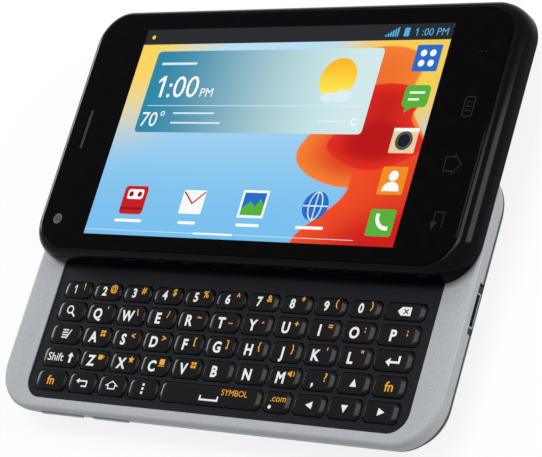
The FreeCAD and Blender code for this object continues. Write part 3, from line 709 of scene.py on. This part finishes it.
def special_key(kind, limits):
    """The white and the amber shapes of a key that isn't a letter or digit."""
    x_low, x_high, y_low, y_high = limits
    x = (x_low + x_high) / 2
    y = (y_low + y_high) / 2
    if kind == "fn":
        return [], key_word("fn", x, y)
    if kind == "shift":
        return key_word("shift", x, y) + moved(shift_arrow(), x + 3.0, y), []
    if kind == "space":
        return moved(space_bracket(), x, y - 0.7), key_word("symbol", x, y)
    if kind == "comma":
        return key_word("comma", x, y), key_word("question", x, y)
    if kind == "period":
        return moved([oval(0, 0, 0.42)], x - 1.6, y - 1.2), key_word("com", x, y)
    if kind in ARROW_TURNS:
        return moved(triangle(ARROW_TURNS[kind]), x, y), []
    return moved(ICONS[kind](), x, y), []


SPECIAL_NODES = {
    "function_keys": ["magnifier", "memo", "comma", "fn", "fn", "back", "home", "menu", "period"],
    "arrow_keys": ["up", "left", "down", "right"],
    "space_key": ["space"], "enter_key": ["enter"], "shift_key": ["shift"],
    "backspace_key": ["backspace"],
}

KEY_NODES = [node for node in frame["nodes"] if node.endswith(("_key", "_keys"))
             and node not in ("volume_up_key", "volume_down_key", "power_key")]
FIELD_MIDDLE = (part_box("keypad_panel")[0].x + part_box("keypad_panel")[1].x) / 2 / MM


def print_legends(key_finish):
    for name in KEY_NODES:
        key_caps(name, key_finish)
        top, tops = key_tops(name)
        if name in SPECIAL_NODES:
            legends = [special_key(kind, limits)
                       for kind, limits in zip(SPECIAL_NODES[name], tops)]
        elif name == "number_keys":
            legends = [letter_key(digit, limits) for digit, limits in zip("1234567890", tops)]
        else:
            legends = [letter_key(name[0].upper(), tops[0])]
        layers = [([shape for pair in legends for shape in pair[0]], WHITE_INK),
                  ([shape for pair in legends for shape in pair[1]], AMBER_INK)]
        if name == "backspace_key":
            x_low, x_high, y_low, y_high = tops[0]
            cross = moved(backspace_cross(), (x_low + x_high) / 2, (y_low + y_high) / 2)
            layers.append((cross, CROSS_INK))
        body = frame["nodes"][name]["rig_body"]
        printed = [layer for layer in layers if layer[0]]
        flat_piece("legend_" + name, printed, top + INK_LIFT, body)


# The lit picture, in millimetres from the display's centre

glass_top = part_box("cover_glass")[1].z
screen_low, screen_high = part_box("lcd_module")
screen_x = (screen_low.x + screen_high.x) / 2 / MM
screen_y = (screen_low.y + screen_high.y) / 2 / MM

WHITE = lit("lit_white", (250, 250, 250))
PALE = lit("lit_pale", (220, 238, 246))
RED = lit("lit_red", (200, 28, 34))
GREEN = lit("lit_green", (86, 178, 58))
BLUE = lit("lit_blue", (38, 108, 200))
ORANGE = lit("lit_orange", (240, 142, 34))
YELLOW = lit("lit_yellow", (250, 214, 40))
SAND = lit("lit_sand", (232, 208, 160))


def on_screen(name, level, *layers):
    """A layer of the picture. Higher levels lie over lower ones."""
    placed = [(moved(shapes, screen_x, screen_y), material) for shapes, material in layers]
    flat_piece(name, placed, glass_top + INK_LIFT + level * LAYER, "display_slab")


def wallpaper():
    """A sky with a warm glow and soft hills in red and orange, all from gradients."""
    nodes = Nodes("wallpaper")
    split = nodes.add("ShaderNodeSeparateXYZ", Vector=nodes.place)
    x = nodes.calc("SUBTRACT", nodes.calc("DIVIDE", split.outputs["X"], MM), screen_x)
    y = nodes.calc("SUBTRACT", nodes.calc("DIVIDE", split.outputs["Y"], MM), screen_y)
    colour = nodes.blend(nodes.between(y, -26, 26), linear(120, 192, 238), linear(186, 224, 244))

    def distance(centre_x, centre_y):
        dx = nodes.calc("SUBTRACT", x, centre_x)
        dy = nodes.calc("SUBTRACT", y, centre_y)
        return nodes.calc("SQRT", nodes.calc("MULTIPLY_ADD", dx, dx, nodes.calc("MULTIPLY", dy, dy)))

    glow = nodes.between(distance(-44, 20), 30, 4)
    colour = nodes.blend(glow, colour, linear(250, 214, 96))
    warm = nodes.between(distance(34, 16), 26, 8)
    colour = nodes.blend(warm, colour, linear(246, 206, 84))
    hills = (
        (28, 2, 15, 4.0, 0.24, (244, 128, 50), (226, 62, 30)),
        (44, -30, 26, 2.6, 0.30, (238, 76, 36), (206, 30, 28)),
        (31, 0, 11, 2.2, 0.50, (226, 44, 30), (184, 22, 24)),
    )
    for centre_x, centre_y, radius, wave, pitch, near, far in hills:
        ripple = nodes.calc("MULTIPLY", nodes.calc("SINE", nodes.calc("MULTIPLY", y, pitch)), wave)
        edge = nodes.calc("ADD", distance(centre_x, centre_y), ripple)
        inside = nodes.between(edge, radius, radius - 0.7)
        body = nodes.blend(nodes.between(edge, radius, radius * 0.3), linear(*near), linear(*far))
        colour = nodes.blend(inside, colour, body)
    nodes.light_up(colour)
    return nodes.material


def home_screen():
    """Wallpaper, status bar, weather widget and page line."""
    grey = lit("lit_grey", (40, 42, 46))
    mark = lit("lit_mark", (80, 176, 224))
    half_x = SCREEN_LENGTH / 2
    half_y = SCREEN_WIDTH / 2
    on_screen("picture_wallpaper", 0, ([rect(-half_x, half_x, -half_y, half_y)], wallpaper()))
    on_screen("picture_status_bar", 1, ([rect(-half_x, half_x, half_y - STATUS_BAR, half_y)], grey))
    signal = [rect(25.6 + 0.6 * n, 26.0 + 0.6 * n, 22.8, 23.3 + 0.35 * n) for n in range(6)]
    battery = [rounded(30.4, 31.8, 22.8, 24.9, 0.25)]
    clock = moved(text_shapes("1", 1.75), 33.7, 23.8)
    clock += moved(text_shapes(":00 PM", 1.75), 38.5, 23.8)
    on_screen("picture_status_marks", 2, (signal + battery + clock, mark),
              ([oval(-40.6, 23.8, 0.5)], YELLOW))

    widget = lit("lit_widget", (44, 136, 168), (208, 234, 234), screen_x - 38, screen_x + 26)
    on_screen("picture_widget", 1, ([rounded(-37.6, 26.7, -0.4, 20.1, 1.0)], widget))
    sun = lit("lit_sun", (255, 232, 84), (250, 184, 36), screen_y + 8, screen_y + 18, "Y")
    on_screen("picture_sun", 2, ([oval(16.3, 12.9, 4.9, steps=48)], sun))
    on_screen("picture_cloud", 3, ([oval(18.6, 8.6, 2.6, 1.5)], PALE))
    on_screen("picture_cloud_left", 4, ([oval(15.2, 8.3, 2.2, 1.2)], PALE))
    hours = moved(text_shapes("1", 5.4), -33.6, 11.1) + moved(text_shapes(":00", 5.4), -26.9, 11.1)
    hours += moved(text_shapes("PM", 2.2), -19.6, 9.6)
    degrees = moved(text_shapes("70", 3.6), -34.2, 2.9)
    degrees += stroke(arc_points(-30.6, 4.3, 0.5, 0, 345, 15), 0.25, closed=True)
    lines = [rect(-35.5, -25.0, 16.6, 17.2), rect(-27.5, -15.5, 4.2, 4.6),
             rect(-27.5, -13.0, 1.8, 2.2), rect(14.0, 21.5, 2.4, 2.8)]
    ring = stroke(arc_points(23.9, 2.5, 0.75, 30, 330, 14), 0.3)
    on_screen("picture_widget_marks", 2, (hours + degrees + ring, WHITE), (lines, PALE))
    on_screen("picture_widget_line", 2, ([rect(-36.0, 25.0, 6.2, 6.35)], PALE))
    on_screen("picture_page_line", 1, ([rect(-half_x, 32.5, -24.72, -24.6)], PALE))
    on_screen("picture_page_mark", 2, ([rect(-11.0, 0.0, -24.9, -24.45)], WHITE))


def home_icons():
    """Four plain icons with bars for their captions."""
    low = -20.7
    high = -13.8
    dark_red = lit("lit_dark_red", (150, 18, 26))
    on_screen("picture_tape", 1, ([rounded(-34.5, -27.6, low, high, 0.9)], RED))
    on_screen("picture_tape_band", 2, ([rect(-34.5, -27.6, low + 1.1, low + 1.7)], dark_red),
              ([rounded(-33.4, -28.7, -17.0, -14.6, 0.6)], WHITE))
    reels = [oval(x, -15.8, 0.65) for x in (-32.3, -29.8)]
    on_screen("picture_tape_reels", 3, (reels, dark_red))
    on_screen("picture_letter", 1, ([rounded(-17.0, -10.6, low + 0.6, high - 0.6, 0.3)], WHITE))
    on_screen("picture_letter_fold", 2,
              (stroke([(-16.8, -14.8), (-13.8, -17.6), (-10.8, -14.8)], 0.4), RED))
    on_screen("picture_photo", 1, ([rect(-0.2, 7.0, low + 0.2, high - 0.2)], WHITE))
    on_screen("picture_photo_sky", 2, ([rect(0.4, 6.4, -19.9, -14.6)], BLUE))
    on_screen("picture_photo_hill", 3, ([[(0.4, -19.9), (6.4, -19.9), (6.4, -17.6), (5.2, -16.0),
                                          (3.9, -17.9), (2.6, -16.6), (0.4, -18.4)]], GREEN))
    on_screen("picture_globe", 1, ([oval(20.2, -17.2, 3.4, steps=40)], BLUE))
    on_screen("picture_globe_equator", 2, (stroke([(16.9, -17.2), (23.5, -17.2)], 0.3), PALE))
    on_screen("picture_globe_axis", 3, (stroke([(20.2, -13.9), (20.2, -20.5)], 0.3), PALE))
    on_screen("picture_globe_meridian", 4,
              (stroke(oval(20.2, -17.2, 1.7, 3.25, steps=24), 0.3, closed=True), PALE))
    captions = []
    for middle, width in ((-31.0, 8.0), (-13.8, 5.0), (3.4, 6.4), (20.2, 7.4)):
        captions.append(rounded(middle - width / 2, middle + width / 2, -22.6, -21.9, 0.3))
    on_screen("picture_captions", 2, (captions, WHITE))


def side_icons():
    """The column of five icons at the right of the picture."""
    left = 35.0
    right = 41.5
    middle = (left + right) / 2
    on_screen("picture_menu", 1, ([rounded(left, right, 14.4, 20.7, 0.3)], BLUE))
    dots = [oval(middle + x, 17.55 + y, 0.8, steps=20) for x in (-1.2, 1.2) for y in (-1.2, 1.2)]
    on_screen("picture_menu_dots", 2, (dots, WHITE))
    on_screen("picture_bubble", 1, ([rounded(left, right, 6.0, 11.2, 1.1)], GREEN))
    tail = [(left + 1.2, 6.0), (left + 1.0, 4.7), (left + 3.0, 6.0)]
    on_screen("picture_bubble_tail", 1, ([tail], GREEN))
    lines = [rect(left + 1.3, right - 1.3, 9.2, 9.7), rect(left + 1.3, right - 2.4, 7.6, 8.1)]
    on_screen("picture_bubble_lines", 2, (lines, WHITE))
    on_screen("picture_camera", 1, ([rounded(left, right, -4.6, 1.2, 0.3)], SAND))
    on_screen("picture_camera_top", 2, ([rect(left, right, 0.4, 1.2)], WHITE))
    on_screen("picture_camera_ring", 2, ([oval(middle, -1.7, 2.2)], lit("lit_ring", (84, 82, 80))))
    on_screen("picture_camera_glass", 3, ([oval(middle, -1.7, 1.5)], lit("lit_lens", (26, 30, 44))))
    on_screen("picture_contact", 1, ([rounded(left, right, -14.1, -7.7, 0.4)], ORANGE))
    on_screen("picture_contact_head", 2, ([oval(middle, -9.8, 1.2)], WHITE))
    on_screen("picture_contact_chest", 2, ([arc_points(middle, -13.3, 2.2, 0, 180)], WHITE))
    on_screen("picture_call", 1, ([rounded(left, right, -23.5, -17.4, 0.5)], GREEN))
    handset = stroke(arc_points(middle + 1.6, -18.9, 2.8, 170, 280, 12), 0.9)
    on_screen("picture_call_mark", 2, (handset, WHITE))


# Marks on the glass and small optical pieces


def glass_marks():
    """Faint touch symbols at the right, the microphone dots and the front camera's window."""
    x = 51.7
    menu = stroke(rounded(x - 1.2, x + 1.2, screen_y + 4.0, screen_y + 8.5, 0.5),
                  MARK_LINE, closed=True)
    menu += [rect(x - 0.7, x + 0.7, screen_y + y, screen_y + y + MARK_LINE)
             for y in (5.2, 6.2, 7.2)]
    outline = [(-2.0, -1.6), (-2.0, 1.6), (0.2, 1.6), (0.2, 2.2), (2.0, 0.0), (0.2, -2.2),
               (0.2, -1.6)]
    home = moved([outline], x, screen_y - 6.8)[0]
    back = [(x + 1.3, screen_y - 21.0), (x + 1.3, screen_y - 17.6), (x - 0.9, screen_y - 17.6),
            (x - 0.9, screen_y - 19.8)]
    marks = menu + stroke(home, MARK_LINE, closed=True) + stroke(back, MARK_LINE)
    marks += [[(x - 0.9, screen_y - 21.6), (x - 0.1, screen_y - 19.8), (x - 1.7, screen_y - 19.8)]]
    dots = [oval(x - 0.6 + 1.1 * n, screen_y + 19.0, 0.16, steps=12) for n in (-1, 0, 1)]
    flat_piece("glass_marks", [(marks + dots, FAINT_INK)], glass_top + INK_LIFT, "display_slab")

    low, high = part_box("front_camera")
    camera_x = (low.x + high.x) / 2 / MM
    camera_y = (low.y + high.y) / 2 / MM
    ring = ink("camera_ring", (52, 54, 58))
    flat_piece("front_camera_ring", [([oval(camera_x, camera_y, 1.25)], ring)],
               glass_top + INK_LIFT, "display_slab")
    flat_piece("front_camera_window", [([oval(camera_x, camera_y, 0.95)], lens_glass())],
               glass_top + INK_LIFT + LAYER, "display_slab")


def domed_lens(name, x, y, z, radius, rise, body):
    """A shallow glass dome that bulges down, for the rear camera."""
    rings = 6
    around = 32
    points = [(x, y, z - rise)]
    for ring in range(1, rings + 1):
        reach = radius * ring / rings
        drop = rise * math.sqrt(1 - (ring / rings) ** 2)
        for step in range(around):
            turn = 2 * math.pi * step / around
            points.append((x + reach * math.cos(turn), y + reach * math.sin(turn), z - drop))
    faces = [[0, 1 + (step + 1) % around, 1 + step] for step in range(around)]
    faces += ring_faces(1, rings, around)
    mesh = bpy.data.meshes.new(name)
    mesh.from_pydata(points, [], faces)
    mesh.materials.append(lens_glass())
    for face in mesh.polygons:
        face.use_smooth = True
    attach(add_object(name, mesh), body)


def rear_lens():
    low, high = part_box("rear_camera")
    domed_lens("rear_camera_lens", (low.x + high.x) / 2, (low.y + high.y) / 2,
               low.z + LENS_SETBACK * MM, LENS_RADIUS * MM, LENS_RISE * MM, "keyboard_slab")


# Studio


def build_floor():
    mesh = bpy.data.meshes.new("floor")
    corners = rect(-FLOOR_REACH, FLOOR_REACH, -FLOOR_REACH, FLOOR_REACH)
    mesh.from_pydata([(x, y, 0) for x, y in corners], [], [[0, 1, 2, 3]])
    floor = add_object("floor", mesh)
    floor.location.z = -FLOOR_DROP
    nodes = Nodes("floor_paper")
    speckle = nodes.between(nodes.noise(0.002), 0.2, 0.8)
    nodes.set(Base_Color=nodes.blend(speckle, FLOOR_DARK, FLOOR_LIGHT), Roughness=0.8)
    rays = nodes.add("ShaderNodeLightPath")
    seen = nodes.calc("ADD", rays.outputs["Is Camera Ray"], rays.outputs["Is Glossy Ray"])
    seen = nodes.calc("ADD", seen, rays.outputs["Is Transmission Ray"])
    glow = nodes.add("ShaderNodeEmission")
    glow.inputs["Color"].default_value = (1, 1, 1, 1)
    glow.inputs["Strength"].default_value = 1.0
    mix = nodes.add("ShaderNodeMixShader")
    share = nodes.calc("MULTIPLY", nodes.calc("MINIMUM", seen, 1.0), FLOOR_GLOW)
    nodes.tree.links.new(share, mix.inputs[0])
    nodes.tree.links.new(nodes.shader.outputs[0], mix.inputs[1])
    nodes.tree.links.new(glow.outputs[0], mix.inputs[2])
    nodes.tree.links.new(mix.outputs[0], nodes.tree.nodes["Material Output"].inputs["Surface"])
    mesh.materials.append(nodes.material)


def build_world():
    world = bpy.data.worlds.new("studio")
    bpy.context.scene.world = world
    world.use_nodes = True
    tree = world.node_tree
    background = tree.nodes["Background"]
    rays = tree.nodes.new("ShaderNodeLightPath")
    seen = tree.nodes.new("ShaderNodeMath")
    seen.operation = "MAXIMUM"
    tree.links.new(rays.outputs["Is Camera Ray"], seen.inputs[0])
    both = tree.nodes.new("ShaderNodeMath")
    both.operation = "MAXIMUM"
    tree.links.new(rays.outputs["Is Glossy Ray"], both.inputs[0])
    tree.links.new(rays.outputs["Is Transmission Ray"], both.inputs[1])
    tree.links.new(both.outputs[0], seen.inputs[1])
    strength = tree.nodes.new("ShaderNodeMapRange")
    tree.links.new(seen.outputs[0], strength.inputs["Value"])
    strength.inputs["To Min"].default_value = WORLD_FILL
    strength.inputs["To Max"].default_value = WORLD_SEEN
    background.inputs["Color"].default_value = (1, 1, 1, 1)
    tree.links.new(strength.outputs["Result"], background.inputs["Strength"])


def area_light(name, place, aim, size, power):
    light = bpy.data.lights.new(name, "AREA")
    light.shape = "RECTANGLE"
    light.size, light.size_y = size
    light.energy = power
    lamp = add_object(name, light)
    lamp.location = place
    direction = Vector(aim) - Vector(place)
    lamp.rotation_euler = direction.to_track_quat("-Z", "Y").to_euler()


def build_studio():
    build_floor()
    build_world()
    for name, values in LAMPS.items():
        area_light(name, *values)


def place_camera():
    camera = bpy.data.cameras.new("camera")
    camera.lens = LENS_LENGTH
    camera.sensor_width = SENSOR_WIDTH
    camera.sensor_fit = "HORIZONTAL"
    camera.clip_start = 0.01
    holder = add_object("camera", camera)
    holder.location = CAMERA_PLACE
    holder.rotation_euler = [math.radians(turn) for turn in CAMERA_TURN]
    bpy.context.scene.camera = holder


place_camera()
build_studio()
finishes = dress_nodes()
print_legends(finishes["key_black"])
home_screen()
home_icons()
side_icons()
glass_marks()
rear_lens()
bpy.context.scene.view_settings.view_transform = "Standard"
